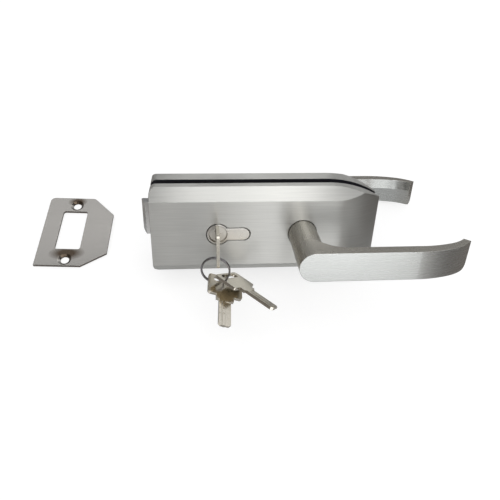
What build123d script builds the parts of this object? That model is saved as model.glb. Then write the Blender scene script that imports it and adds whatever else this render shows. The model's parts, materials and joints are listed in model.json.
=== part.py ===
from build123d import *
import os
from math import asin, atan2, cos, degrees, radians, sin, sqrt

# A lever lock for a glass door, with its strike plate and its keys on a ring.
# Every size is in millimetres. The lock is modelled upright, with its origin on the
# cylinder's axis in the middle of the glass: X runs along the lock towards the lever's tip,
# Y from the lever side with the key to the thumbturn side, and Z up. At the end the lock is
# leaned back on its rear lever, as it stands on a table beside its strike plate.

# Covers
cover_face = 19.45            # from the middle of the glass to a cover's flat face
slot_half = 4.25              # half the slot that the glass goes into
half_height = 36.0
lock_left = -51.0
lock_right = 127.7
end_arc_start = 86.0          # where the top and bottom edges start to curve
end_arc_radius = 81.0
nose_arc_start = 90.0         # where the face starts to curve back
nose_arc_radius = 59.6
corner_radius = 4.5
front_bevel = 8.8
rear_bevel = 3.3
cover_wall = 4.0
cover_lever_clearance = 0.35  # round the lever's neck

# Glass and gaskets
notch_right = 97.0            # the glass is cut back to here
notch_half_height = 25.0
gasket_thickness = 2.0
gasket_inset = 0.4            # from the cover's outline to the gasket's edge
gasket_clearance = 0.1        # round the gasket in its recess
gasket_proud = 0.2            # how far the gasket stands out of its recess

# Lock case
case_left = -47.5
case_right = 87.0
case_half_height = 23.5
case_half_depth = 11.0
case_wall = 1.5
case_corner = 1.0
case_clearance = 0.5
case_screw_radius = 1.5
case_screw_head = 2.6         # radius of the head
case_screw_head_height = 1.4
case_screw_length = 7.0       # in the boss
case_boss_radius = 3.0
case_boss_inset = 3.9         # from the case's outside to a boss's middle
upper_boss_height = 5.0       # the upper right boss stays below the latch's tail
lower_boss_places = (-33.5, 30.0)
spring_post_width = 3.0       # the post that the latch's spring pushes against
spring_post_gap = 1.0         # between the post and the latch's tail

# Cover bolts: one at the lower left through the case, two to the right of it
bolt_radius = 2.45
bolt_clearance = 0.25
bolt_head_radius = 4.2
bolt_head_height = 3.4
bolt_head_sunk = 0.5          # below the rear cover's face
bolt_head_clearance = 0.4
bolt_socket = 2.3             # radius to the corners of the hexagon
bolt_socket_depth = 2.2
left_bolt = (-41.0, -18.5)
right_bolt_x = 92.0
right_bolt_z = 17.0
bolt_grip = 3.2               # thread length in the front cover

# Lever handles
lever_axis = 65.6
lever_face = 71.4             # from the middle of the glass to the blade's face
lever_half_height = 11.3
neck_radius = 10.95
neck_flare = 16.0
blade_top = 8.4               # thickness at the top edge
blade_crease = 10.0           # thickness at the crease on the inner side
blade_bottom = 5.2            # thickness at the bottom edge
crease_height = 3.5
blade_bend_start = 140.0
first_bend_radius = 85.0
first_bend_angle = 18.0
second_bend_radius = 38.0
second_bend_angle = 29.0
tip_thinning = 0.64
tip_corner_radius = 5.0
running_fit = 0.05

# Spindle and hub
spindle_side = 8.0
spindle_clearance = 0.05
spindle_half_length = 52.0
spindle_end_gap = 0.5
spindle_chamfer = 0.8
grub_radius = 2.4
grub_from_middle = 25.0
grub_sunk = 0.6               # below the neck's surface
grub_socket = 1.3
grub_socket_depth = 2.4
hub_radius = 9.0
hub_journal_radius = 7.5
hub_half_length = case_half_depth - 0.2
arm_radius = 16.4
arm_half_width = 2.5
arm_half_depth = 3.0
return_spring_pitch = 1.5
return_spring_turns = 3
return_spring_wire = 0.5      # radius
return_spring_gap = 0.4       # between the spring and the hub
bush_radius = 15.0
bush_gap = 0.1                # between a bush and the case

# Latch
latch_half_thickness = 4.0
latch_bottom = -6.4
latch_top = 20.7
latch_tip = -58.4             # where the bevel is longest
latch_bevel_run = 3.0
latch_back = -29.0
latch_corner = 2.5
latch_tip_chamfer = 0.8
guide_half_depth = 6.4
guide_clearance = 0.15
guide_wall = 0.8              # above and below the latch
guide_case_gap = 0.3
guide_back_gap = 2.0          # from the guide to the back of the latch
tail_bottom = 17.2
tail_top = 20.4
tail_half_depth = 3.0
tail_gap = 0.5                # between the hub's arm and the tail's lug
tail_lug = 4.0
tail_lug_overlap = 4.5        # how far the lug hangs below the top of the hub's arm
spring_tab = 2.0
spring_tab_gap = 0.2          # between the tab and the spring
latch_spring_left = 20.0
latch_spring_right = 46.0
latch_spring_y = -6.4
latch_spring_radius = 2.3
latch_spring_wire = 0.6
latch_spring_pitch = 2.4

# Profile cylinder
cylinder_radius = 8.5
cylinder_tail = 24.5
cylinder_tail_half = 5.0
cylinder_proud = 0.45         # how far its ends stand out of the covers
cylinder_half_length = cover_face + cylinder_proud
cylinder_clearance = 0.6
cylinder_edge = 0.35          # chamfer round its front end and round the mouth of its bore
plug_radius = 6.75
plug_fit = 0.07
plug_recess = 1.3             # from the cylinder's front end back to the plug's
cam_half_width = 4.8
cam_radius = 13.4
cam_collar_radius = 8.3
cam_bore = 5.3
cam_finger_half_width = 3.6
cam_rest_angle = -30.0
cylinder_gap_half = 5.1       # half the gap that the cam turns in
cylinder_gap_right = 14.2
cylinder_screw_x = 19.4
cylinder_screw_radius = 2.4
cylinder_screw_head = 4.0     # radius of the head
cylinder_screw_head_height = 2.2
pin_radius = 1.3
pin_clearance = 0.1
pin_rows = (-15.6, -11.8, -8.0)
pin_top_gap = 0.15            # from a tumbler pin's top to the plug's surface
pin_hole_wall = 1.5           # left between the pin holes and the end of the tail
pin_spring_wall = 0.4
shear_gap = 0.1
driver_length = 5.0
knob_gap = 2.5                # from the rear cover to the thumbturn's knob
knob_height = 28.0
knob_width = 11.0
knob_depth = 13.0
knob_rounding = 1.5
knob_shaft_step = 1.2         # the knob's shaft is this much thinner than the plug
slide_left = -27.5
slide_right = -16.5
slide_bottom = -21.0
slide_top = -9.0
slide_front = 6.4
slide_thickness = 2.6
slide_corner = 1.5
slide_slot_width = 3.2
slide_slot_end = 2.0          # from the slot's end to the slide's

# Keys and their ring
key_length = 48.5
key_bow_length = 19.7
key_bow_width = 26.6
key_bow_corner = 2.4
key_neck_length = 4.5
key_neck_width = 13.4
key_blade_width = 9.2
key_thickness = 2.3
key_slot_length = 18.6
key_slot_width = 4.8
key_slot_from_end = 4.3
key_step = 0.45
key_tip_chamfer = 1.6
key_blade_rim = 0.2           # left at full thickness along the milled half's edge
key_groove_width = 0.7
key_groove_depth = 0.3
key_dimple_radius = 0.6
key_dimple_places = (8.5, 13.5)
key_dimple_side = 1.3
keyway_x = -0.8
keyway_clearance = 0.1
key_end = -48.6               # Y of the end of the bow of the key in the lock
ring_radius = 10.5            # to the middle of the wire
ring_wire = 0.7
ring_turn_gap = 1.0           # between the middles of the two turns
ring_centre = (-2.7, -43.3, -17.3)
ring_facing = (-0.158, -0.987, 0.0)
ring_left_to_right = (0.987, -0.158, 0.0)
left_key_angle = -70.2        # place on the ring, counted from its right end
left_key_wire = (0.9, -3.8)   # where the wire passes the key's slot: along the key, across it
left_key_tip_way = (-0.054, -0.982, -0.179)
left_key_across = (0.942, 0.01, -0.336)
right_key_angle = -32.8
right_key_wire = (-0.3, -2.2)
right_key_tip_way = (0.705, -0.687, -0.176)
right_key_across = (0.593, 0.707, -0.386)

# Strike plate, lying on the table
strike_width = 57.5
strike_height = 73.8
strike_thickness = 2.2
strike_window_width = 21.0
strike_window_height = 41.4
strike_window_middle = (-4.5, 0.7)
strike_hole_radius = 3.5
strike_sink_radius = 5.6
strike_sink_depth = 1.2
strike_holes_middle = (-4.5, -1.2)
strike_hole_spacing = 58.8
strike_top_cut = (18.5, 18.0)
strike_bottom_cut = (20.0, 13.5)
strike_corner = 4.0
strike_window_corner = 2.0
strike_turn = -3.0
strike_middle_x = -120.3
strike_middle_y = 24.4


def wall_plane(y):
    """A plane parallel to the covers at this Y: its X is along the lock and its Y is up."""
    return Plane.XZ.offset(-y)


def ring_piece(centre_x, outer, inner, front, rear):
    """A round piece along Y, with a bore where inner isn't zero."""
    with BuildPart() as piece:
        with BuildSketch(wall_plane(rear)):
            with Locations((centre_x, 0)):
                Circle(outer)
                if inner > 0:
                    Circle(inner, mode=Mode.SUBTRACT)
        extrude(amount=rear - front)
    return piece


def euro_profile(clearance):
    """The cylinder's round head with its tail towards the lever, as a sketch on wall planes."""
    with BuildSketch() as profile:
        Circle(cylinder_radius + clearance)
        tail_end = cylinder_tail + clearance
        tail_half = cylinder_tail_half + clearance
        with Locations(((tail_end - tail_half) / 2, 0)):
            Rectangle(tail_end - tail_half, 2 * tail_half)
        with Locations((tail_end - tail_half, 0)):
            Circle(tail_half)
    return profile.sketch


def cover_elevation(inset):
    """The outline of a cover seen from the front."""
    rise = half_height - inset
    left = lock_left + inset
    right = lock_right - inset
    radius = end_arc_radius - inset
    centre_z = half_height - end_arc_radius
    sweep = degrees(asin((right - end_arc_start) / radius))
    end_z = centre_z + radius * cos(radians(sweep))
    with BuildSketch() as outline:
        with BuildLine():
            Line((left, -rise), (left, rise))
            Line((left, rise), (end_arc_start, rise))
            CenterArc((end_arc_start, centre_z), radius, 90, -sweep)
            Line((right, end_z), (right, -end_z))
            CenterArc((end_arc_start, -centre_z), radius, -90, sweep)
            Line((end_arc_start, -rise), (left, -rise))
        make_face()
        fillet(outline.vertices().group_by(Axis.X)[0], corner_radius)
    return outline.sketch


def glass_zone(inset):
    """The part of the outline where the covers grip the glass."""
    with BuildSketch() as zone:
        add(cover_elevation(inset))
        with Locations(((lock_left + notch_right) / 2, 0)):
            Rectangle(notch_right - lock_left, 2 * notch_half_height, mode=Mode.SUBTRACT)
    return zone.sketch


def cover_shell(bevel):
    """A cover that faces -Y: outer shape, room for the case, gasket recess and openings."""
    length = lock_right - lock_left
    with BuildPart() as shell:
        with BuildSketch(wall_plane(-slot_half)):
            add(cover_elevation(0))
        extrude(amount=cover_face - slot_half)
        with BuildSketch(Plane.XY.offset(-half_height)):
            with BuildLine():
                nose_run = lock_right - nose_arc_start
                nose_sweep = degrees(asin(nose_run / nose_arc_radius))
                nose_back = nose_arc_radius - sqrt(nose_arc_radius ** 2 - nose_run ** 2)
                Polyline((lock_right, nose_back - cover_face), (lock_right, 0), (lock_left, 0),
                         (lock_left, -cover_face), (nose_arc_start, -cover_face))
                CenterArc((nose_arc_start, nose_arc_radius - cover_face), nose_arc_radius, -90,
                          nose_sweep)
            make_face()
        extrude(amount=2 * half_height, mode=Mode.INTERSECT)
        with BuildSketch(Plane.YZ.offset(lock_left)):
            Polygon((0, -half_height), (bevel - cover_face, -half_height),
                    (-cover_face, bevel - half_height), (-cover_face, half_height - bevel),
                    (bevel - cover_face, half_height), (0, half_height), align=None)
        extrude(amount=length, mode=Mode.INTERSECT)
        with BuildSketch(wall_plane(-slot_half)):
            middle = (case_left + case_right) / 2
            with Locations((middle, 0)):
                Rectangle(case_right - case_left + 2 * case_clearance,
                          2 * (case_half_height + case_clearance))
        extrude(amount=cover_face - cover_wall - slot_half, mode=Mode.SUBTRACT)
        with BuildSketch(wall_plane(-slot_half)):
            add(glass_zone(gasket_inset))
        extrude(amount=gasket_thickness - gasket_proud, mode=Mode.SUBTRACT)
        with BuildSketch(wall_plane(0)):
            add(euro_profile(cylinder_clearance))
        extrude(amount=cover_face, mode=Mode.SUBTRACT)
        with BuildSketch(wall_plane(0)):
            with Locations((lever_axis, 0)):
                Circle(neck_radius + cover_lever_clearance)
        extrude(amount=cover_face, mode=Mode.SUBTRACT)
    return shell.part


bolt_places = [left_bolt, (right_bolt_x, right_bolt_z), (right_bolt_x, -right_bolt_z)]
bolt_seat = cover_face - bolt_head_sunk - bolt_head_height

with BuildPart() as front_cover:
    add(cover_shell(front_bevel))
    with BuildSketch(wall_plane(0)):
        with Locations(*bolt_places):
            Circle(bolt_radius + running_fit)
    extrude(amount=cover_face - cover_wall + bolt_grip, mode=Mode.SUBTRACT)

with BuildPart() as rear_cover:
    add(mirror(cover_shell(rear_bevel), about=Plane.XZ, mode=Mode.PRIVATE))
    with BuildSketch(wall_plane(cover_face)):
        with Locations(*bolt_places):
            Circle(bolt_radius + bolt_clearance)
    extrude(amount=cover_face, mode=Mode.SUBTRACT)
    with BuildSketch(wall_plane(cover_face)):
        with Locations(*bolt_places):
            Circle(bolt_head_radius + bolt_head_clearance)
    extrude(amount=cover_face - bolt_seat, mode=Mode.SUBTRACT)

with BuildPart() as cover_bolts:
    with BuildSketch(wall_plane(bolt_seat)):
        with Locations(*bolt_places):
            Circle(bolt_radius)
    extrude(amount=bolt_seat + cover_face - cover_wall + bolt_grip - 0.2)
    with BuildSketch(wall_plane(bolt_seat + bolt_head_height)):
        with Locations(*bolt_places):
            Circle(bolt_head_radius)
    extrude(amount=bolt_head_height)
    with BuildSketch(wall_plane(bolt_seat + bolt_head_height)):
        with Locations(*bolt_places):
            RegularPolygon(bolt_socket, 6)
    extrude(amount=bolt_socket_depth, mode=Mode.SUBTRACT)


def gasket(front):
    """A gasket whose front face is at this Y."""
    with BuildPart() as sheet:
        with BuildSketch(wall_plane(front + gasket_thickness)):
            add(glass_zone(gasket_inset + gasket_clearance))
        extrude(amount=gasket_thickness)
    return sheet


front_gasket = gasket(-slot_half - gasket_thickness + gasket_proud)
rear_gasket = gasket(slot_half - gasket_proud)


def case_outline(inset):
    """The case seen from the front, drawn smaller by the inset."""
    with BuildSketch() as outline:
        with Locations(((case_left + case_right) / 2, 0)):
            RectangleRounded(case_right - case_left - 2 * inset,
                             2 * (case_half_height - inset), case_corner)
    return outline.sketch


case_bosses = [(case_right - case_boss_inset, upper_boss_height)]
for boss_x in (case_right - case_boss_inset, *lower_boss_places):
    case_bosses.append((boss_x, case_boss_inset - case_half_height))

with BuildPart() as lock_case:
    with BuildSketch(wall_plane(case_half_depth - case_wall)):
        add(case_outline(0))
    extrude(amount=2 * case_half_depth - case_wall)
    with BuildSketch(wall_plane(case_half_depth - case_wall)):
        add(case_outline(case_wall))
    extrude(amount=2 * case_half_depth - 2 * case_wall, mode=Mode.SUBTRACT)
    with BuildSketch(wall_plane(case_half_depth - case_wall)):
        with Locations(*case_bosses):
            Circle(case_boss_radius)
    extrude(amount=2 * case_half_depth - 2 * case_wall)
    with BuildSketch(wall_plane(case_half_depth - case_wall)):
        with Locations(*case_bosses):
            Circle(case_screw_radius)
    extrude(amount=case_screw_length + 1, mode=Mode.SUBTRACT)
    with BuildSketch(Plane.YZ.offset(case_left - 1)):
        with Locations((0, (latch_top + latch_bottom) / 2)):
            Rectangle(2 * (latch_half_thickness + guide_clearance),
                      latch_top - latch_bottom + 2 * guide_clearance)
    extrude(amount=case_wall + 2, mode=Mode.SUBTRACT)
    with BuildSketch(wall_plane(0)):
        add(euro_profile(cylinder_clearance))
        with Locations((lever_axis, 0)):
            Circle(hub_journal_radius + running_fit)
        with Locations(left_bolt):
            Circle(bolt_radius + bolt_clearance)
    extrude(amount=case_half_depth, mode=Mode.SUBTRACT)
    with BuildSketch(Plane.XY.offset(-case_half_height)):
        with Locations((cylinder_screw_x, 0)):
            Circle(cylinder_screw_radius + 0.2)
    extrude(amount=case_wall, mode=Mode.SUBTRACT)
    post_rear = -tail_half_depth - spring_post_gap
    post_top = case_half_height - case_wall
    with BuildSketch(wall_plane(post_rear)):
        with Locations((latch_spring_right + spring_post_width / 2, (tail_bottom + post_top) / 2)):
            Rectangle(spring_post_width, post_top - tail_bottom)
    extrude(amount=post_rear + case_half_depth - case_wall)

with BuildPart() as case_lid:
    with BuildSketch(wall_plane(case_half_depth)):
        add(case_outline(0))
        add(euro_profile(cylinder_clearance), mode=Mode.SUBTRACT)
        with Locations((lever_axis, 0)):
            Circle(hub_journal_radius + running_fit, mode=Mode.SUBTRACT)
        with Locations(left_bolt):
            Circle(bolt_radius + bolt_clearance, mode=Mode.SUBTRACT)
    extrude(amount=case_wall)
    with BuildSketch(wall_plane(case_half_depth)):
        with Locations(*case_bosses):
            Circle(case_screw_radius + 0.1)
    extrude(amount=case_wall, mode=Mode.SUBTRACT)

with BuildPart() as case_screws:
    with BuildSketch(wall_plane(case_half_depth)):
        with Locations(*case_bosses):
            Circle(case_screw_radius)
    extrude(amount=case_wall + case_screw_length)
    with BuildSketch(wall_plane(case_half_depth + case_screw_head_height)):
        with Locations(*case_bosses):
            Circle(case_screw_head)
    extrude(amount=case_screw_head_height)
    with BuildSketch(wall_plane(case_half_depth + case_screw_head_height)):
        with Locations(*case_bosses):
            Rectangle(case_screw_head * 1.5, case_screw_head_height / 2)
    extrude(amount=case_screw_head_height / 2, mode=Mode.SUBTRACT)


def blade_point(angle, thickness):
    """A point of the front lever's blade where it has turned by this angle: on its outer face
    where the thickness is zero, or else on the inner side of a blade that starts this thick."""
    first = min(angle, first_bend_angle)
    x = blade_bend_start + first_bend_radius * sin(radians(first))
    y = -lever_face + first_bend_radius * (1 - cos(radians(first)))
    if angle > first_bend_angle:
        x += second_bend_radius * (sin(radians(angle)) - sin(radians(first)))
        y += second_bend_radius * (cos(radians(first)) - cos(radians(angle)))
    depth = thickness * (1 - (1 - tip_thinning) * angle / full_bend_angle)
    return (x - depth * sin(radians(angle)), y + depth * cos(radians(angle)))


def blade_plan(height, thickness):
    """The blade cut level at this height: outer face, tip and inner side."""
    with BuildSketch(Plane.XY.offset(height)) as plan:
        with BuildLine():
            bends = (0, first_bend_angle / 2, first_bend_angle,
                     (first_bend_angle + full_bend_angle) / 2, full_bend_angle)
            outer = [blade_point(angle, 0) for angle in bends]
            inner = [blade_point(angle, thickness) for angle in bends]
            for side in (outer, inner):
                Line((blade_start, side[0][1]), side[0])
                ThreePointArc(side[0], side[1], side[2])
                ThreePointArc(side[2], side[3], side[4])
            Line(outer[4], inner[4])
            Line((blade_start, outer[0][1]), (blade_start, inner[0][1]))
        make_face()
    return plan.sketch


full_bend_angle = first_bend_angle + second_bend_angle
blade_start = lever_axis - lever_half_height
tip_x = blade_point(full_bend_angle, 0)[0]


def lever_elevation():
    """The lever seen from the front: round at the neck, square at the tip."""
    with BuildSketch() as outline:
        with Locations((lever_axis, 0)):
            Circle(lever_half_height)
        with Locations(((lever_axis + tip_x) / 2, 0)):
            Rectangle(tip_x - lever_axis, 2 * lever_half_height)
        tip_corners = outline.vertices().group_by(Axis.X)[-1].sort_by(Axis.Y)
        fillet(tip_corners[0], tip_corner_radius)
    return outline.sketch


def lever():
    """The front lever: blade, flared neck, socket for the spindle and hole for its screw."""
    with BuildPart() as casting:
        add(blade_plan(-lever_half_height, blade_bottom))
        add(blade_plan(crease_height, blade_crease))
        add(blade_plan(lever_half_height, blade_top))
        loft(ruled=True)
        flare_top = -lever_face + blade_top
        with BuildSketch(Plane.XY):
            with BuildLine():
                flare_start = flare_top + neck_flare
                neck_end = -cover_face + cover_wall + 0.5
                flare_x = lever_axis + neck_radius + neck_flare
                Line((lever_axis, neck_end), (lever_axis + neck_radius, neck_end))
                Line((lever_axis + neck_radius, neck_end), (lever_axis + neck_radius, flare_start))
                CenterArc((flare_x, flare_start), neck_flare, 180, 90)
                Line((flare_x, flare_top), (flare_x, flare_top - 2.0))
                Line((flare_x, flare_top - 2.0), (lever_axis, flare_top - 2.0))
                Line((lever_axis, flare_top - 2.0), (lever_axis, neck_end))
            make_face()
        revolve(axis=Axis((lever_axis, 0, 0), (0, 1, 0)))
        with BuildSketch(wall_plane(0)):
            add(lever_elevation())
        extrude(amount=lever_face + 1, mode=Mode.INTERSECT)
        with BuildSketch(wall_plane(0)):
            with Locations((lever_axis, 0)):
                Rectangle(spindle_side + 2 * spindle_clearance, spindle_side + 2 * spindle_clearance)
        extrude(amount=spindle_half_length + spindle_end_gap, mode=Mode.SUBTRACT)
        with BuildSketch(Plane.XY.offset(-lever_half_height)):
            with Locations((lever_axis, -grub_from_middle)):
                Circle(grub_radius + running_fit)
        extrude(amount=lever_half_height, mode=Mode.SUBTRACT)
    return casting.part


front_lever_part = lever()

with BuildPart() as front_lever:
    add(front_lever_part)

with BuildPart() as rear_lever:
    add(mirror(front_lever_part, about=Plane.XZ, mode=Mode.PRIVATE))

with BuildPart() as spindle:
    with BuildSketch(wall_plane(spindle_half_length)):
        with Locations((lever_axis, 0)):
            Rectangle(spindle_side, spindle_side)
    extrude(amount=2 * spindle_half_length)
    spindle_ends = spindle.edges().group_by(Axis.Y)
    chamfer(spindle_ends[0] + spindle_ends[-1], spindle_chamfer)

grub_places = [(lever_axis, -grub_from_middle), (lever_axis, grub_from_middle)]
grub_outside = grub_sunk - neck_radius
with BuildPart() as lever_grub_screws:
    with BuildSketch(Plane.XY.offset(grub_outside)):
        with Locations(*grub_places):
            Circle(grub_radius)
    extrude(amount=-grub_outside - spindle_side / 2)
    with BuildSketch(Plane.XY.offset(grub_outside)):
        with Locations(*grub_places):
            RegularPolygon(grub_socket, 6)
    extrude(amount=grub_socket_depth, mode=Mode.SUBTRACT)

bush_front = -cover_face + cover_wall
front_bush = ring_piece(lever_axis, bush_radius, neck_radius + running_fit, bush_front,
                        -case_half_depth - bush_gap)
rear_bush = ring_piece(lever_axis, bush_radius, neck_radius + running_fit,
                       case_half_depth + bush_gap, -bush_front)

with BuildPart() as lever_hub:
    with BuildSketch(wall_plane(hub_half_length)):
        with Locations((lever_axis, 0)):
            Circle(hub_journal_radius)
    extrude(amount=2 * hub_half_length)
    hub_body_half = case_half_depth - case_wall - 0.3
    with BuildSketch(wall_plane(hub_body_half)):
        with Locations((lever_axis, 0)):
            Circle(hub_radius)
    extrude(amount=2 * hub_body_half)
    with BuildSketch(wall_plane(arm_half_depth)):
        with Locations((lever_axis, arm_radius / 2)):
            Rectangle(2 * arm_half_width, arm_radius)
    extrude(amount=2 * arm_half_depth)
    fillet(lever_hub.edges().filter_by(Axis.Y).group_by(Axis.Z)[-1], arm_half_width - 0.3)
    with BuildSketch(wall_plane(hub_half_length)):
        with Locations((lever_axis, 0)):
            Rectangle(spindle_side + 2 * spindle_clearance, spindle_side + 2 * spindle_clearance)
    extrude(amount=2 * hub_half_length, mode=Mode.SUBTRACT)

return_spring_radius = hub_radius + return_spring_wire + return_spring_gap
with BuildPart() as lever_return_spring:
    with BuildLine() as return_spring_path:
        Helix(return_spring_pitch, return_spring_pitch * return_spring_turns, return_spring_radius,
              center=(lever_axis, arm_half_depth + 2 * return_spring_wire, 0),
              direction=(0, 1, 0))
    with BuildSketch(Plane(return_spring_path.line @ 0, z_dir=return_spring_path.line % 0)):
        Circle(return_spring_wire)
    sweep(is_frenet=True)

with BuildPart() as latch_bolt:
    latch_middle_z = (latch_top + latch_bottom) / 2
    with BuildSketch(Plane.XY.offset(latch_bottom)):
        Polygon((latch_tip + latch_bevel_run, -latch_half_thickness),
                (latch_back, -latch_half_thickness), (latch_back, latch_half_thickness),
                (latch_tip + latch_tip_chamfer, latch_half_thickness),
                (latch_tip, latch_half_thickness - latch_tip_chamfer), align=None)
    extrude(amount=latch_top - latch_bottom)
    with BuildSketch(wall_plane(latch_half_thickness)) as latch_elevation:
        with Locations(((latch_tip + latch_back) / 2, latch_middle_z)):
            Rectangle(latch_back - latch_tip, latch_top - latch_bottom)
        lower_corner = latch_elevation.vertices().group_by(Axis.X)[0].sort_by(Axis.Y)[0]
        fillet(lower_corner, latch_corner)
    extrude(amount=2 * latch_half_thickness, mode=Mode.INTERSECT)

with BuildPart() as latch_tail:
    lug_left = lever_axis + arm_half_width + tail_gap
    tail_end = lug_left + tail_lug
    with BuildSketch(wall_plane(tail_half_depth)):
        with Locations(((latch_back + tail_end) / 2, (tail_bottom + tail_top) / 2)):
            Rectangle(tail_end - latch_back, tail_top - tail_bottom)
        lug_bottom = arm_radius - tail_lug_overlap
        with Locations((lug_left + tail_lug / 2, (lug_bottom + tail_top) / 2)):
            Rectangle(tail_lug, tail_top - lug_bottom)
    extrude(amount=2 * tail_half_depth)
    tab_reach = abs(latch_spring_y) + latch_spring_radius - tail_half_depth
    with BuildSketch(wall_plane(-tail_half_depth)):
        tab_middle = latch_spring_left - spring_tab_gap - spring_tab / 2
        with Locations((tab_middle, (tail_bottom + tail_top) / 2)):
            Rectangle(spring_tab, tail_top - tail_bottom)
    extrude(amount=tab_reach)

with BuildPart() as latch_spring:
    latch_spring_start = latch_spring_left + latch_spring_wire
    latch_spring_end = latch_spring_right - latch_spring_wire
    latch_spring_z = (tail_bottom + tail_top) / 2
    with BuildLine() as latch_spring_path:
        Helix(latch_spring_pitch, latch_spring_end - latch_spring_start, latch_spring_radius,
              center=(latch_spring_start, latch_spring_y, latch_spring_z), direction=(1, 0, 0))
    with BuildSketch(Plane(latch_spring_path.line @ 0, z_dir=latch_spring_path.line % 0)):
        Circle(latch_spring_wire / 2)
    sweep(is_frenet=True)

with BuildPart() as latch_guide:
    guide_left = case_left + case_wall + guide_case_gap
    guide_right = latch_back - guide_back_gap
    with BuildSketch(Plane.YZ.offset(guide_left)):
        with Locations((0, latch_middle_z)):
            Rectangle(2 * guide_half_depth, latch_top - latch_bottom + 2 * guide_wall)
            Rectangle(2 * (latch_half_thickness + guide_clearance),
                      latch_top - latch_bottom + 2 * guide_clearance, mode=Mode.SUBTRACT)
    extrude(amount=guide_right - guide_left)

pin_hole_end = cylinder_tail - pin_hole_wall
with BuildPart() as cylinder_body:
    with BuildSketch(wall_plane(cylinder_half_length)):
        add(euro_profile(0))
        Circle(plug_radius + plug_fit, mode=Mode.SUBTRACT)
    extrude(amount=2 * cylinder_half_length)
    chamfer(cylinder_body.edges().group_by(Axis.Y)[0], cylinder_edge)
    with BuildSketch(wall_plane(cylinder_gap_half)):
        with Locations(((cylinder_gap_right - cylinder_radius - 1) / 2, 0)):
            Rectangle(cylinder_gap_right + cylinder_radius + 1, 2 * cylinder_radius + 2)
    extrude(amount=2 * cylinder_gap_half, mode=Mode.SUBTRACT)
    with Locations(*[Location((0, y, 0), (0, 90, 0)) for y in pin_rows]):
        Cylinder(pin_radius + pin_clearance, pin_hole_end,
                 align=(Align.CENTER, Align.CENTER, Align.MIN), mode=Mode.SUBTRACT)
    with BuildSketch(Plane.XY.offset(-cylinder_tail_half)):
        with Locations((cylinder_screw_x, 0)):
            Circle(cylinder_screw_radius + running_fit)
    extrude(amount=2 * cylinder_tail_half, mode=Mode.SUBTRACT)

with BuildPart() as cylinder_screw:
    with BuildSketch(Plane.XY.offset(-case_half_height + case_wall)):
        with Locations((cylinder_screw_x, 0)):
            Circle(cylinder_screw_radius)
    extrude(amount=case_half_height - case_wall + cylinder_tail_half - 1)
    with BuildSketch(Plane.XY.offset(-case_half_height + case_wall)):
        with Locations((cylinder_screw_x, 0)):
            Circle(cylinder_screw_head)
    extrude(amount=cylinder_screw_head_height)

with BuildPart() as cylinder_plug:
    plug_length = cylinder_half_length - plug_recess - cylinder_gap_half
    with BuildSketch(wall_plane(-cylinder_gap_half)):
        Circle(plug_radius)
        with Locations((keyway_x, 0)):
            Rectangle(key_thickness + 2 * keyway_clearance, key_blade_width + 2 * keyway_clearance,
                      mode=Mode.SUBTRACT)
    extrude(amount=plug_length)
    with Locations(*[Location((keyway_x, y, 0), (0, 90, 0)) for y in pin_rows]):
        Cylinder(pin_radius + pin_clearance, plug_radius + 2,
                 align=(Align.CENTER, Align.CENTER, Align.MIN), mode=Mode.SUBTRACT)

pin_tip = keyway_x + key_thickness / 2 + keyway_clearance
with BuildPart() as tumbler_pins:
    with Locations(*[Location((pin_tip, y, 0), (0, 90, 0)) for y in pin_rows]):
        Cylinder(pin_radius, plug_radius - pin_top_gap - pin_tip,
                 align=(Align.CENTER, Align.CENTER, Align.MIN))

driver_start = plug_radius + plug_fit + shear_gap
with BuildPart() as driver_pins:
    with Locations(*[Location((driver_start, y, 0), (0, 90, 0)) for y in pin_rows]):
        Cylinder(pin_radius, driver_length, align=(Align.CENTER, Align.CENTER, Align.MIN))

with BuildPart() as pin_springs:
    spring_start = driver_start + driver_length
    spring_length = pin_hole_end - pin_clearance - spring_start
    with Locations(*[Location((spring_start, y, 0), (0, 90, 0)) for y in pin_rows]):
        Cylinder(pin_radius, spring_length, align=(Align.CENTER, Align.CENTER, Align.MIN))
        Cylinder(pin_radius - pin_spring_wall, spring_length,
                 align=(Align.CENTER, Align.CENTER, Align.MIN), mode=Mode.SUBTRACT)

with BuildPart() as cylinder_cam:
    with BuildSketch(wall_plane(cam_half_width)):
        Circle(cam_collar_radius)
        with Locations(Location((0, 0, 0), (0, 0, cam_rest_angle))):
            with Locations((cam_radius / 2, 0)):
                Rectangle(cam_radius, 2 * cam_finger_half_width)
        Circle(cam_bore, mode=Mode.SUBTRACT)
    extrude(amount=2 * cam_half_width)

with BuildPart() as thumbturn:
    knob_front = cover_face + knob_gap
    with BuildSketch(wall_plane(cylinder_half_length)):
        Circle(plug_radius)
    extrude(amount=cylinder_half_length - cylinder_gap_half)
    with BuildSketch(wall_plane(knob_front)):
        Circle(plug_radius - knob_shaft_step)
    extrude(amount=knob_front - cylinder_half_length)
    with BuildSketch(wall_plane(knob_front + knob_depth)):
        SlotOverall(knob_height, knob_width, rotation=90)
    extrude(amount=knob_depth)
    fillet(thumbturn.edges().group_by(Axis.Y)[-1], knob_rounding)

with BuildPart() as locking_slide:
    slide_middle = ((slide_left + slide_right) / 2, (slide_bottom + slide_top) / 2)
    with BuildSketch(wall_plane(slide_front + slide_thickness)):
        with Locations(slide_middle):
            RectangleRounded(slide_right - slide_left, slide_top - slide_bottom, slide_corner)
            SlotOverall(slide_top - slide_bottom - 2 * slide_slot_end, slide_slot_width,
                        rotation=90, mode=Mode.SUBTRACT)
    extrude(amount=slide_thickness)


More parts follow.
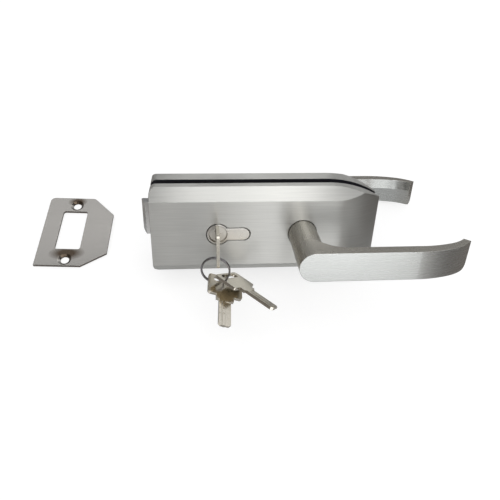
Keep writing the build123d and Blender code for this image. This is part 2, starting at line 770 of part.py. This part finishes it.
def key_blank():
    """A dimple key lying flat: X from the bow's end to the blade's tip, Y across, Z through."""
    blade_start = key_bow_length + key_neck_length
    blade_length = key_length - blade_start
    track_width = key_blade_width / 2 - key_blade_rim
    half_thickness = key_thickness / 2
    with BuildPart() as key:
        with BuildSketch(Plane.XY.offset(-half_thickness)) as outline:
            with Locations((key_bow_length / 2, 0)):
                RectangleRounded(key_bow_length, key_bow_width, key_bow_corner)
            with Locations((key_bow_length + key_neck_length / 2 - 1, 0)):
                Rectangle(key_neck_length + 2, key_neck_width)
            with Locations((blade_start + blade_length / 2, 0)):
                Rectangle(blade_length, key_blade_width)
            tip_corners = outline.vertices().group_by(Axis.X)[-1]
            chamfer(tip_corners, key_tip_chamfer)
            with Locations((key_slot_from_end, 0)):
                SlotOverall(key_slot_length, key_slot_width, rotation=90, mode=Mode.SUBTRACT)
        extrude(amount=key_thickness)
        for face_z, inward in ((half_thickness, -1), (-half_thickness, 1)):
            with BuildSketch(Plane.XY.offset(face_z)):
                with Locations((blade_start + blade_length / 2 + 1.5, key_blade_width / 2)):
                    Rectangle(blade_length, 2 * track_width)
            extrude(amount=inward * key_step, mode=Mode.SUBTRACT)
            with BuildSketch(Plane.XY.offset(face_z)):
                with Locations((blade_start + blade_length / 2 + 1.0, -key_blade_width / 4)):
                    Rectangle(blade_length - 2, key_groove_width)
                with Locations(*[(blade_start + along, side - key_blade_width / 4)
                                 for along in key_dimple_places
                                 for side in (-key_dimple_side, key_dimple_side)]):
                    Circle(key_dimple_radius)
            extrude(amount=inward * key_groove_depth, mode=Mode.SUBTRACT)
    return key.part


def key_at(slot_middle, tip_way, across):
    """A key with the middle of its slot here, its tip that way and its width nearly that way."""
    face_way = Vector(*tip_way).cross(Vector(*across))
    slot_plane = Plane(slot_middle, x_dir=tip_way, z_dir=face_way)
    with BuildPart() as key:
        add(key_blank().moved(Location(slot_plane) * Location((-key_slot_from_end, 0, 0))))
    return key


def key_on_ring(ring_angle, wire_in_slot, tip_way, across):
    """A key that the ring's wire passes through at this angle of the ring."""
    wire = ring_plane * Location((ring_radius * cos(radians(ring_angle)),
                                  ring_radius * sin(radians(ring_angle)), 0))
    face_way = Vector(*tip_way).cross(Vector(*across))
    wire_plane = Plane(wire.position, x_dir=tip_way, z_dir=face_way)
    slot = Location(wire_plane) * Location((-wire_in_slot[0], -wire_in_slot[1], 0))
    return key_at(slot.position, tip_way, across)


ring_plane = Plane(ring_centre, x_dir=ring_left_to_right, z_dir=ring_facing)
key_in_lock = key_at((keyway_x, key_end + key_slot_from_end, 0), (0, 1, 0), (0, 0, 1))
key_left = key_on_ring(left_key_angle, left_key_wire, left_key_tip_way, left_key_across)
key_right = key_on_ring(right_key_angle, right_key_wire, right_key_tip_way, right_key_across)

ring_section_plane = Plane(ring_plane.origin, x_dir=ring_plane.x_dir, z_dir=ring_plane.y_dir)
with BuildPart() as key_ring:
    with BuildSketch(ring_section_plane):
        with Locations((ring_radius, -ring_turn_gap / 2), (ring_radius, ring_turn_gap / 2)):
            Circle(ring_wire)
    revolve(axis=Axis(ring_plane.origin, ring_plane.z_dir))

with BuildPart() as strike_plate:
    with BuildSketch() as strike_outline:
        right = strike_width / 2
        top = strike_height / 2
        Polygon((-right, -top), (right - strike_bottom_cut[0], -top),
                (right, strike_bottom_cut[1] - top), (right, top - strike_top_cut[1]),
                (right - strike_top_cut[0], top), (-right, top), align=None)
        corners = strike_outline.vertices()
        fillet(corners.sort_by(Axis.Y)[-2:], strike_corner)
        with Locations(strike_window_middle):
            RectangleRounded(strike_window_width, strike_window_height, strike_window_corner,
                             mode=Mode.SUBTRACT)
    extrude(amount=strike_thickness)
    sink_angle = 2 * degrees(atan2(strike_sink_radius - strike_hole_radius, strike_sink_depth))
    with Locations((*strike_holes_middle, strike_thickness)), GridLocations(0, strike_hole_spacing, 1, 2):
        CounterSinkHole(strike_hole_radius, strike_sink_radius, counter_sink_angle=sink_angle)

# The lock leans back until its rear lever meets the table, and the whole stands on its floor.
# The points that meet the table are the lower edge of the rear cover and the lower edge of
# the rear lever's blade.
cover_foot_y = cover_face - rear_bevel
lean = atan2(half_height - lever_half_height, lever_face - cover_foot_y)
floor_height = cover_foot_y * sin(lean) + half_height * cos(lean)
on_table = Location((0, 0, floor_height)) * Location((0, 0, 0), (-degrees(lean), 0, 0))
beside_lock = Location((strike_middle_x, strike_middle_y, 0), (0, 0, strike_turn))

lock_pieces = {
    "front_cover": front_cover, "rear_cover": rear_cover,
    "front_gasket": front_gasket, "rear_gasket": rear_gasket,
    "lock_case": lock_case, "case_lid": case_lid, "case_screws": case_screws,
    "cover_bolts": cover_bolts, "front_lever": front_lever, "rear_lever": rear_lever,
    "spindle": spindle, "lever_grub_screws": lever_grub_screws,
    "front_bush": front_bush, "rear_bush": rear_bush, "lever_hub": lever_hub,
    "lever_return_spring": lever_return_spring, "latch_bolt": latch_bolt,
    "latch_tail": latch_tail, "latch_spring": latch_spring, "latch_guide": latch_guide,
    "cylinder_body": cylinder_body, "cylinder_screw": cylinder_screw,
    "cylinder_plug": cylinder_plug, "tumbler_pins": tumbler_pins, "driver_pins": driver_pins,
    "pin_springs": pin_springs, "cylinder_cam": cylinder_cam, "thumbturn": thumbturn,
    "locking_slide": locking_slide, "key_in_lock": key_in_lock, "key_left": key_left,
    "key_right": key_right, "key_ring": key_ring,
}

for piece in lock_pieces.values():
    piece.part.locate(on_table)
strike_plate.part.locate(beside_lock)
pieces = {**lock_pieces, "strike_plate": strike_plate}

whole = Compound([piece.part for piece in pieces.values()]).bounding_box()
to_origin = Location((-whole.center().X, -whole.center().Y, -whole.min.Z))

os.makedirs("parts", exist_ok=True)
for name, piece in pieces.items():
    piece.part.locate(to_origin * piece.part.location)
    piece.part.label = name
    export_step(piece.part, f"parts/{name}.step")
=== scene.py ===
import json
from math import cos, radians, sin

import bpy
from mathutils import Matrix, Vector


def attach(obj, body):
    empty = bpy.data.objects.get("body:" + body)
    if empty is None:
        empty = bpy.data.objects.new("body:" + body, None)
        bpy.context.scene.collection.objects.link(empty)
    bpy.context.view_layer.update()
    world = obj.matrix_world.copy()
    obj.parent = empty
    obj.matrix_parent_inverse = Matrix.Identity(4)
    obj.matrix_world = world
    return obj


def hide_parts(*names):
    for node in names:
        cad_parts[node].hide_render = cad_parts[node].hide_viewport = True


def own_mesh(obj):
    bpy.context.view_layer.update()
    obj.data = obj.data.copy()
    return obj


# A glass door lock leaning back on a table beside its strike plate, photographed from above.
# The lock's own frame has its origin on the cylinder's axis in the middle of the glass, X along
# the lock, Y away from the keyed side and Z up the covers. It is found here from the joint that
# the cylinder turns on. The row frame is the frame's own, in metres, with the table at zero.

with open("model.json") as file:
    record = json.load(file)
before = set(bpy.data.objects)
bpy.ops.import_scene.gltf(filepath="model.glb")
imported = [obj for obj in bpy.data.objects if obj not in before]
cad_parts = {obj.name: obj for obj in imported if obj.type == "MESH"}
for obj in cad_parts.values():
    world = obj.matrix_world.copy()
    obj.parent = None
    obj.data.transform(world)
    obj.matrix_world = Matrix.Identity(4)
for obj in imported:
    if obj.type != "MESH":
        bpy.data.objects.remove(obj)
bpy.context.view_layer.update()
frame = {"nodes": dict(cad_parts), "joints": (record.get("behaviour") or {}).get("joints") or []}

MM = 0.001

# The camera, in the lock's frame: millimetres and degrees
CAMERA_PLACE = (-11.40, -364.29, 183.15)
CAMERA_PITCH = 29.65
CAMERA_YAW = 6.04
CAMERA_ROLL = 1.91
PHOTO_SIZE = 500
FOCAL_PIXELS = 507.6
SENSOR_WIDTH = 36.0

# The levers' necks, in the lock's frame, and how far outside them their finish starts and ends
# to fade: millimetres
LEVER_AXIS = 65.6
NECK_RADIUS = 10.95
NECK_FADE_START = 0.1
NECK_FADE_END = 0.3

# The grains of the finishes, in metres: the brushing's length, how fine and how soft it is, and
# the blotches along the lock, towards the glass and up
BRUSH_LENGTH = 0.03
BRUSH_FINE = 0.0004
BRUSH_SOFT = 0.0014
BLOTCH_SIZE = (0.07, 0.045, 0.045)
BLOTCH_SHADE = 0.94
SOFT_MATERIAL_GRAIN = 0.0024
TABLE_GRAIN = 0.3

# The part of a noise's range that holds most of its values
NOISE_RANGE = (0.3, 0.7)

# The dark patches painted beside the strike plate's holes, a painted reflection and shade of their
# countersinks: their colour, and middle and size, in metres, in the row frame
PAINTED_PATCH_COLOUR = (0.24, 0.19, 0.15)
STRIKE_PAINTED_PATCHES = (
    ((-0.1412, 0.0125, 0.0), (0.016, 0.008, 0.01)),
    ((-0.1390, 0.0695, 0.0), (0.009, 0.006, 0.01)),
)

# The light: the world's level where it lights and where it is seen, the table's size, its grey
# and its glow where it is seen, and the lamp, in metres and watts
WHITE = (1.0, 1.0, 1.0)
FILL_LEVEL = 0.95
BACKDROP_LEVEL = 1.0
TABLE_HALF = 2.0
TABLE_DARKEST = 0.34
TABLE_LIGHTEST = 0.36
TABLE_GLOW = 0.72
LAMP_PLACE = (0.2, 0.1, 1.0)
LAMP_SIZE = 0.6
LAMP_POWER = 0.42

# The room that the metal mirrors, in metres, in the row frame. Its table lies just over the
# white one.
ROOM_LEFT = -0.8
ROOM_RIGHT = 0.8
ROOM_NEAR = -0.9
ROOM_FAR = 0.6
ROOM_TOP = 1.0
ROOM_TABLE = 0.0004
DARK = 0.05
WARM = (1.0, 0.93, 0.88)


def lock_frame():
    """The matrix from the lock's own frame, in metres, to the row frame."""
    joint = next(j for j in frame["joints"] if j["name"] == "cylinder_turn")
    along = Vector((1, 0, 0))
    inward = Vector(joint["axis"]).normalized()
    up = along.cross(inward)
    turn = Matrix((along, inward, up)).transposed().to_4x4()
    return Matrix.Translation(Vector(joint["pos_m"])) @ turn


LOCK = lock_frame()
TO_GLASS = LOCK.col[1].to_3d()
UPWARD = Vector((0, 0, 1))


def add_camera():
    """The photograph's camera."""
    pitch = radians(CAMERA_PITCH)
    yaw = radians(CAMERA_YAW)
    roll = radians(CAMERA_ROLL)
    ahead = Vector((sin(yaw) * cos(pitch), cos(yaw) * cos(pitch), -sin(pitch)))
    level_right = Vector((cos(yaw), -sin(yaw), 0))
    level_up = level_right.cross(ahead)
    right = level_right * cos(roll) + level_up * sin(roll)
    up = level_up * cos(roll) - level_right * sin(roll)
    turn = Matrix((right, up, -ahead)).transposed().to_4x4()
    data = bpy.data.cameras.new("photo_camera")
    data.sensor_width = SENSOR_WIDTH
    data.lens = FOCAL_PIXELS / PHOTO_SIZE * SENSOR_WIDTH
    data.clip_start = 0.01
    camera = bpy.data.objects.new("photo_camera", data)
    bpy.context.scene.collection.objects.link(camera)
    camera.matrix_world = LOCK @ Matrix.Translation(Vector(CAMERA_PLACE) * MM) @ turn
    bpy.context.scene.camera = camera


class Nodes:
    """A short way to write the nodes of a material or of the world."""

    def __init__(self, tree):
        self.tree = tree
        tree.nodes.clear()

    def add(self, kind, **values):
        node = self.tree.nodes.new(kind)
        for name, value in values.items():
            setattr(node, name, value)
        return node

    def link(self, source, target):
        self.tree.links.new(source, target)


def new_material(name):
    """An empty material, its node helper and its shader."""
    material = bpy.data.materials.new(name)
    material.use_nodes = True
    nodes = Nodes(material.node_tree)
    output = nodes.add("ShaderNodeOutputMaterial")
    shader = nodes.add("ShaderNodeBsdfPrincipled")
    nodes.link(shader.outputs["BSDF"], output.inputs["Surface"])
    return material, nodes, shader


def streaks(nodes, size, detail=4.0):
    """Noise whose grains have this size, in metres, along each axis of the lock's frame."""
    place = nodes.add("ShaderNodeTexCoord")
    stretch = nodes.add("ShaderNodeMapping", vector_type="TEXTURE")
    stretch.inputs["Rotation"].default_value = LOCK.to_euler()
    stretch.inputs["Scale"].default_value = size
    noise = nodes.add("ShaderNodeTexNoise")
    noise.inputs["Scale"].default_value = 1.0
    noise.inputs["Detail"].default_value = detail
    nodes.link(place.outputs["Object"], stretch.inputs["Vector"])
    nodes.link(stretch.outputs["Vector"], noise.inputs["Vector"])
    return noise.outputs["Fac"]


def mottle(nodes, size, detail):
    """Noise with round grains of this size, in metres."""
    return streaks(nodes, (size, size, size), detail)


def between(nodes, factor, low, high, ends=NOISE_RANGE):
    """A colour from low to high over the given part of the factor's range."""
    ramp = nodes.add("ShaderNodeValToRGB")
    ramp.color_ramp.elements[0].position = ends[0]
    ramp.color_ramp.elements[0].color = (*low, 1.0)
    ramp.color_ramp.elements[1].position = ends[1]
    ramp.color_ramp.elements[1].color = (*high, 1.0)
    nodes.link(factor, ramp.inputs["Fac"])
    return ramp.outputs["Color"]


def spread(nodes, factor, low, high, ends=NOISE_RANGE):
    """A number from low to high over the given part of the factor's range."""
    span = nodes.add("ShaderNodeMapRange")
    span.inputs["From Min"].default_value = ends[0]
    span.inputs["From Max"].default_value = ends[1]
    span.inputs["To Min"].default_value = low
    span.inputs["To Max"].default_value = high
    nodes.link(factor, span.inputs["Value"])
    return span.outputs["Result"]


def shade(colour, amount):
    """The colour made lighter or darker."""
    return tuple(min(1.0, c * amount) for c in colour)


def uneven(nodes, noise, colour, variation):
    """The colour, made darker and lighter by this share with the noise."""
    return between(nodes, noise, shade(colour, 1 - variation), shade(colour, 1 + variation))


def blend(nodes, factor, low, high):
    """The low number where the factor is zero, and the high one where it is one."""
    mix = nodes.add("ShaderNodeMix", data_type="FLOAT")
    nodes.link(factor, mix.inputs["Factor"])
    nodes.link(low, mix.inputs["A"])
    nodes.link(high, mix.inputs["B"])
    return mix.outputs["Result"]


def multiply(nodes, colour):
    """A node that multiplies this colour by its input B."""
    mix = nodes.add("ShaderNodeMix", data_type="RGBA", blend_type="MULTIPLY")
    nodes.link(colour, mix.inputs["A"])
    return mix


def painted_darker(nodes, colour, where, shade_colour):
    """The colour multiplied by a painted shade's colour where this factor is one."""
    mix = multiply(nodes, colour)
    mix.inputs["B"].default_value = (*shade_colour, 1.0)
    nodes.link(where, mix.inputs["Factor"])
    return mix.outputs["Result"]


def soft_edges(nodes, radius):
    """A normal that rounds the edges by this radius, in metres."""
    bevel = nodes.add("ShaderNodeBevel", samples=6)
    bevel.inputs["Radius"].default_value = radius
    return bevel.outputs["Normal"]


def bumped(nodes, height, distance, strength, normal):
    """The normal with a fine relief added."""
    bump = nodes.add("ShaderNodeBump")
    bump.inputs["Strength"].default_value = strength
    bump.inputs["Distance"].default_value = distance
    nodes.link(height, bump.inputs["Height"])
    nodes.link(normal, bump.inputs["Normal"])
    return bump.outputs["Normal"]


def squareness(nodes, direction):
    """How squarely a face looks along this direction or against it, from zero to one."""
    place = nodes.add("ShaderNodeTexCoord")
    along = nodes.add("ShaderNodeVectorMath", operation="DOT_PRODUCT")
    along.inputs[1].default_value = direction
    nodes.link(place.outputs["Normal"], along.inputs[0])
    size = nodes.add("ShaderNodeMath", operation="ABSOLUTE")
    nodes.link(along.outputs["Value"], size.inputs[0])
    return size.outputs["Value"]


def round_neck(nodes):
    """One on the round necks of the levers, and zero on every other face."""
    place = nodes.add("ShaderNodeTexCoord")
    axis = nodes.add("ShaderNodeMapping", vector_type="TEXTURE")
    axis.inputs["Location"].default_value = LOCK @ Vector((LEVER_AXIS * MM, 0, 0))
    axis.inputs["Rotation"].default_value = LOCK.to_euler()
    nodes.link(place.outputs["Object"], axis.inputs["Vector"])
    flat = nodes.add("ShaderNodeVectorMath", operation="MULTIPLY")
    flat.inputs[1].default_value = (1.0, 0.0, 1.0)
    nodes.link(axis.outputs["Vector"], flat.inputs[0])
    radius = nodes.add("ShaderNodeVectorMath", operation="LENGTH")
    nodes.link(flat.outputs["Vector"], radius.inputs[0])
    fade = ((NECK_RADIUS + NECK_FADE_START) * MM, (NECK_RADIUS + NECK_FADE_END) * MM)
    inside = spread(nodes, radius.outputs["Value"], 1.0, 0.0, fade)
    side = spread(nodes, squareness(nodes, TO_GLASS), 1.0, 0.0, (0.3, 0.5))
    both = nodes.add("ShaderNodeMath", operation="MULTIPLY")
    nodes.link(inside, both.inputs[0])
    nodes.link(side, both.inputs[1])
    return both.outputs["Value"]


def spot(nodes, middle, size):
    """One at a place in the row frame, fading to zero at this size from it."""
    place = nodes.add("ShaderNodeTexCoord")
    reach = nodes.add("ShaderNodeMapping", vector_type="TEXTURE")
    reach.inputs["Location"].default_value = middle
    reach.inputs["Scale"].default_value = size
    distance = nodes.add("ShaderNodeVectorMath", operation="LENGTH")
    nodes.link(place.outputs["Object"], reach.inputs["Vector"])
    nodes.link(reach.outputs["Vector"], distance.inputs[0])
    return spread(nodes, distance.outputs["Value"], 1.0, 0.0, (0.45, 1.0))


def brushing(nodes, blotches):
    """Fine and soft streaks along the lock, and fine ones towards the glass on the levers'
    necks. The blotches say where the streaks are soft."""
    fine = streaks(nodes, (BRUSH_LENGTH, BRUSH_LENGTH, BRUSH_FINE))
    soft = streaks(nodes, (BRUSH_LENGTH, BRUSH_LENGTH, BRUSH_SOFT), detail=2.0)
    turned = streaks(nodes, (BRUSH_FINE, BRUSH_LENGTH, BRUSH_FINE))
    along = blend(nodes, spread(nodes, blotches, 0.25, 0.6), fine, soft)
    return blend(nodes, round_neck(nodes), along, turned)


def stretch_reflections(nodes, shader, anisotropy):
    """Blur what the shader mirrors across the brushing, which runs along the lock."""
    shader.inputs["Anisotropic"].default_value = anisotropy
    shader.inputs["Anisotropic Rotation"].default_value = 0.25
    tangent = nodes.add("ShaderNodeCombineXYZ")
    tangent.inputs["X"].default_value = 1.0
    nodes.link(tangent.outputs["Vector"], shader.inputs["Tangent"])


def brushed_metal(name, colour, roughness, edge=0.0005, variation=0.05, relief=0.000006,
                  anisotropy=0.7, front=TO_GLASS, side_painted_shade=WHITE, painted_patches=()):
    """Metal with fine streaks and faint blotches. The faces that don't look along the front's
    direction are darkened by a painted shade of the side's colour, and dark patches are painted
    at the given places as a painted reflection."""
    material, nodes, shader = new_material(name)
    blotches = streaks(nodes, BLOTCH_SIZE, detail=2.0)
    grain = brushing(nodes, blotches)
    blotched = multiply(nodes, uneven(nodes, grain, colour, variation))
    blotched.inputs["Factor"].default_value = 1.0
    nodes.link(between(nodes, blotches, shade(WHITE, BLOTCH_SHADE), WHITE, (0.35, 0.65)),
               blotched.inputs["B"])
    side = spread(nodes, squareness(nodes, front), 1.0, 0.0, (0.6, 0.95))
    # Painted shade: a darker colour on the faces that don't look along the front's direction
    base = painted_darker(nodes, blotched.outputs["Result"], side, side_painted_shade)
    # Painted reflections: dark patches at the given places
    for middle, size in painted_patches:
        base = painted_darker(nodes, base, spot(nodes, middle, size), PAINTED_PATCH_COLOUR)
    nodes.link(base, shader.inputs["Base Color"])
    shader.inputs["Metallic"].default_value = 1.0
    nodes.link(spread(nodes, grain, roughness * 0.9, roughness * 1.12), shader.inputs["Roughness"])
    if anisotropy > 0:
        stretch_reflections(nodes, shader, anisotropy)
    normal = bumped(nodes, grain, relief, 0.5, soft_edges(nodes, edge))
    nodes.link(normal, shader.inputs["Normal"])
    return material


def plated_metal(name, colour, roughness, edge=0.0003, grain_size=0.004):
    """Plated or tumbled metal: mottled a little, with softened edges."""
    material, nodes, shader = new_material(name)
    grain = mottle(nodes, grain_size, detail=5.0)
    nodes.link(uneven(nodes, grain, colour, 0.05), shader.inputs["Base Color"])
    shader.inputs["Metallic"].default_value = 1.0
    nodes.link(spread(nodes, grain, roughness * 0.85, roughness * 1.2), shader.inputs["Roughness"])
    normal = bumped(nodes, grain, 0.00001, 0.4, soft_edges(nodes, edge))
    nodes.link(normal, shader.inputs["Normal"])
    return material


def soft_material(name, colour, roughness, variation):
    """Rubber or nylon, with a fine uneven surface."""
    material, nodes, shader = new_material(name)
    grain = mottle(nodes, SOFT_MATERIAL_GRAIN, detail=6.0)
    nodes.link(uneven(nodes, grain, colour, variation), shader.inputs["Base Color"])
    nodes.link(spread(nodes, grain, roughness * 0.9, roughness * 1.15), shader.inputs["Roughness"])
    normal = bumped(nodes, grain, 0.00005, 0.5, soft_edges(nodes, 0.0003))
    nodes.link(normal, shader.inputs["Normal"])
    return material


def dress(material, *names):
    """Give CAD pieces this material."""
    for name in names:
        mesh = frame["nodes"][name].data
        mesh.materials.clear()
        mesh.materials.append(material)


def dress_outside():
    """The finishes of the covers, levers, latch, strike plate and gaskets."""
    covers = brushed_metal("cover_steel", (0.64, 0.64, 0.615), 0.38, edge=0.0007, variation=0.08,
                           anisotropy=0.93)
    dress(covers, "front_cover", "rear_cover")

    # The levers' faces that don't look towards the glass carry a painted warm shade, for the dark
    # reflections in their necks
    levers = brushed_metal("lever_steel", (0.70, 0.715, 0.70), 0.27, variation=0.02,
                           relief=0.000002, side_painted_shade=(0.84, 0.79, 0.73))
    dress(levers, "front_lever", "rear_lever")

    # The strike plate's edges carry a painted dark shade, and dark patches painted beside its holes
    # stand for reflections of the countersinks
    strike = brushed_metal("strike_steel", (0.66, 0.64, 0.61), 0.22, anisotropy=0.4, front=UPWARD,
                           side_painted_shade=(0.35, 0.32, 0.3), painted_patches=STRIKE_PAINTED_PATCHES)
    dress(strike, "strike_plate")

    dress(brushed_metal("latch_steel", (0.70, 0.70, 0.69), 0.2, anisotropy=0.0), "latch_bolt")

    dress(soft_material("gasket_rubber", (0.006, 0.006, 0.011), 0.6, 0.2),
          "front_gasket", "rear_gasket")


def dress_works():
    """The finishes of the pieces inside the lock, and of its screws."""
    dress(plated_metal("case_zinc", (0.45, 0.46, 0.48), 0.4),
          "lock_case", "case_lid", "latch_tail", "locking_slide")
    dress(plated_metal("screw_steel", (0.5, 0.5, 0.5), 0.3),
          "case_screws", "cover_bolts", "cylinder_screw", "lever_grub_screws")
    dress(soft_material("bush_nylon", (0.75, 0.73, 0.68), 0.5, 0.05),
          "front_bush", "rear_bush", "latch_guide")
    dress(plated_metal("works_steel", (0.35, 0.35, 0.36), 0.4),
          "spindle", "lever_hub", "cylinder_cam")
    dress(plated_metal("spring_steel", (0.4, 0.4, 0.41), 0.3),
          "lever_return_spring", "latch_spring", "pin_springs")


def dress_cylinder():
    """The finishes of the cylinder, the keys and their ring."""
    dress(plated_metal("cylinder_nickel", (0.68, 0.66, 0.62), 0.3),
          "cylinder_body", "cylinder_plug", "thumbturn")
    dress(plated_metal("pin_brass", (0.72, 0.52, 0.24), 0.3),
          "tumbler_pins", "driver_pins")
    dress(plated_metal("key_nickel", (0.68, 0.64, 0.56), 0.18, grain_size=0.002),
          "key_in_lock", "key_left", "key_right")
    dress(plated_metal("ring_steel", (0.24, 0.23, 0.24), 0.15, edge=0.0001),
          "key_ring")


def add_latch_spring():
    """A copy of the latch's spring with a mesh of its own, carried with the lock in place of the
    rigid piece. The real spring shortens towards its fixed end as the latch is drawn.
    """
    rigid = frame["nodes"]["latch_spring"]
    spring = bpy.data.objects.new("latch_spring_coil", rigid.data.copy())
    bpy.context.scene.collection.objects.link(spring)
    spring.matrix_world = rigid.matrix_world
    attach(spring, "lock")
    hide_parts("latch_spring")
    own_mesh(spring)


def seen_rays(nodes):
    """One where the camera, a mirror or a glass sees the surface, and zero where it lights."""
    path = nodes.add("ShaderNodeLightPath")
    total = path.outputs["Is Camera Ray"]
    for name in ("Is Glossy Ray", "Is Transmission Ray"):
        step = nodes.add("ShaderNodeMath", operation="MAXIMUM")
        nodes.link(total, step.inputs[0])
        nodes.link(path.outputs[name], step.inputs[1])
        total = step.outputs["Value"]
    return total


def add_world():
    """White where it is seen, and a plain soft light for the rest."""
    world = bpy.data.worlds.new("studio")
    world.use_nodes = True
    nodes = Nodes(world.node_tree)
    output = nodes.add("ShaderNodeOutputWorld")
    mix = nodes.add("ShaderNodeMixShader")
    nodes.link(seen_rays(nodes), mix.inputs["Fac"])
    for socket, level in ((1, FILL_LEVEL), (2, BACKDROP_LEVEL)):
        light = nodes.add("ShaderNodeBackground")
        light.inputs["Color"].default_value = (*WHITE, 1.0)
        light.inputs["Strength"].default_value = level
        nodes.link(light.outputs["Background"], mix.inputs[socket])
    nodes.link(mix.outputs["Shader"], output.inputs["Surface"])
    bpy.context.scene.world = world


def facing_x(x, near, far, low, high):
    """The corners of an upright sheet at this x."""
    return [(x, near, low), (x, far, low), (x, far, high), (x, near, high)]


def facing_y(y, left, right, low, high):
    """The corners of an upright sheet at this y."""
    return [(left, y, low), (right, y, low), (right, y, high), (left, y, high)]


def facing_z(z, left, right, near, far):
    """The corners of a level sheet at this height."""
    return [(left, near, z), (right, near, z), (right, far, z), (left, far, z)]


def flat_sheet(name, corners):
    """A flat sheet through four corners, in metres."""
    mesh = bpy.data.meshes.new(name)
    mesh.from_pydata(corners, [], [(0, 1, 2, 3)])
    sheet = bpy.data.objects.new(name, mesh)
    bpy.context.scene.collection.objects.link(sheet)
    return sheet


def add_floor():
    """A white table that keeps a soft shadow."""
    floor = flat_sheet("floor", facing_z(0, -TABLE_HALF, TABLE_HALF, -TABLE_HALF, TABLE_HALF))
    material, nodes, shader = new_material("floor_white")
    grain = mottle(nodes, TABLE_GRAIN, detail=2.0)
    grey = between(nodes, grain, shade(WHITE, TABLE_DARKEST), shade(WHITE, TABLE_LIGHTEST))
    nodes.link(grey, shader.inputs["Base Color"])
    shader.inputs["Roughness"].default_value = 0.9
    shader.inputs["Specular IOR Level"].default_value = 0.0
    glow = spread(nodes, seen_rays(nodes), 0.0, TABLE_GLOW, (0.0, 1.0))
    nodes.link(glow, shader.inputs["Emission Strength"])
    shader.inputs["Emission Color"].default_value = (*WHITE, 1.0)
    floor.data.materials.append(material)


def add_card(name, level, corners, tint=WHITE):
    """A sheet of this grey, or of this tint, that only reflections see."""
    card = flat_sheet(name, corners)
    material = bpy.data.materials.new(name)
    material.use_nodes = True
    nodes = Nodes(material.node_tree)
    output = nodes.add("ShaderNodeOutputMaterial")
    glow = nodes.add("ShaderNodeEmission")
    glow.inputs["Color"].default_value = (*tint, 1.0)
    glow.inputs["Strength"].default_value = level
    nodes.link(glow.outputs["Emission"], output.inputs["Surface"])
    material.cycles.emission_sampling = "NONE"
    card.data.materials.append(material)
    card.visible_camera = False
    card.visible_diffuse = False
    card.visible_shadow = False
    card.visible_transmission = False


def add_side_walls():
    """A dim wall at the left, and a window over a dark one at the right."""
    sill = 0.4
    add_card("left_wall", 0.2, facing_x(ROOM_LEFT, ROOM_NEAR, ROOM_FAR, 0, ROOM_TOP), WARM)
    add_card("right_wall", DARK, facing_x(ROOM_RIGHT, ROOM_NEAR, ROOM_FAR, 0, sill), WARM)
    add_card("right_window", 0.8, facing_x(ROOM_RIGHT, ROOM_NEAR, ROOM_FAR, sill, ROOM_TOP))


def add_front_wall():
    """The wall behind the camera: dim corners, and a window that is brightest low down."""
    corner_end, window_left, window_right = -0.1, 0.05, 0.5
    bright_top = 0.3
    add_card("front_corner", 0.2, facing_y(ROOM_NEAR, ROOM_LEFT, corner_end, 0, ROOM_TOP), WARM)
    add_card("front_wall", 0.55, facing_y(ROOM_NEAR, corner_end, window_left, 0, ROOM_TOP))
    add_card("front_window", 2.0, facing_y(ROOM_NEAR, window_left, window_right, 0, bright_top))
    add_card("front_high", 1.2, facing_y(ROOM_NEAR, window_left, window_right, bright_top, ROOM_TOP))
    add_card("front_right", 0.4, facing_y(ROOM_NEAR, window_right, ROOM_RIGHT, 0, ROOM_TOP), WARM)


def add_back_wall():
    """The wall behind the lock: dim below, and lighter above, most of all at the right."""
    band_low, band_split = 0.35, 0.1
    add_card("back_wall", 0.25, facing_y(ROOM_FAR, ROOM_LEFT, ROOM_RIGHT, 0, band_low))
    add_card("back_left_band", 0.65, facing_y(ROOM_FAR, ROOM_LEFT, band_split, band_low, ROOM_TOP))
    add_card("back_right_band", 0.95, facing_y(ROOM_FAR, band_split, ROOM_RIGHT, band_low, ROOM_TOP))


def add_ceiling():
    """Light over the lock and in front of it, between two dark sides."""
    front_end = -0.3
    lamp_left, lamp_right, middle_right = -0.12, 0.15, 0.3
    add_card("ceiling_left", DARK, facing_z(ROOM_TOP, ROOM_LEFT, lamp_left, front_end, ROOM_FAR))
    add_card("ceiling_lamp", 1.7, facing_z(ROOM_TOP, lamp_left, lamp_right, front_end, ROOM_FAR))
    add_card("ceiling_middle", 2.2, facing_z(ROOM_TOP, lamp_right, middle_right, front_end, ROOM_FAR))
    add_card("ceiling_right", DARK, facing_z(ROOM_TOP, middle_right, ROOM_RIGHT, front_end, ROOM_FAR))
    add_card("ceiling_front", 1.4, facing_z(ROOM_TOP, ROOM_LEFT, ROOM_RIGHT, ROOM_NEAR, front_end))


def add_table_cards():
    """The table as the metal sees it: bright at the front left, grey round the lock and dim at
    the right."""
    left_end, left_far = -0.05, -0.06
    front_end, front_far = 0.38, -0.23
    right_start = 0.19
    add_card("table_left", 0.85, facing_z(ROOM_TABLE, ROOM_LEFT, left_end, ROOM_NEAR, left_far))
    add_card("table_front", 0.5, facing_z(ROOM_TABLE, left_end, front_end, ROOM_NEAR, front_far))
    add_card("table_near", 0.4, facing_z(ROOM_TABLE, left_end, right_start, front_far, left_far))
    add_card("table_back", 0.4, facing_z(ROOM_TABLE, ROOM_LEFT, right_start, left_far, ROOM_FAR))
    add_card("table_far_right", 0.2,
             facing_z(ROOM_TABLE, front_end, ROOM_RIGHT, ROOM_NEAR, front_far), WARM)
    add_card("table_right", 0.2,
             facing_z(ROOM_TABLE, right_start, ROOM_RIGHT, front_far, ROOM_FAR), WARM)


def add_top_lamp():
    """A square soft lamp that looks straight down."""
    data = bpy.data.lights.new("top_lamp", "AREA")
    data.shape = "SQUARE"
    data.size = LAMP_SIZE
    data.energy = LAMP_POWER
    lamp = bpy.data.objects.new("top_lamp", data)
    bpy.context.scene.collection.objects.link(lamp)
    lamp.location = LAMP_PLACE
    lamp.visible_glossy = False


bpy.context.scene.view_settings.view_transform = "Standard"
add_camera()
dress_outside()
dress_works()
dress_cylinder()
add_latch_spring()
add_world()
add_floor()
add_side_walls()
add_front_wall()
add_back_wall()
add_ceiling()
add_table_cards()
add_top_lamp()
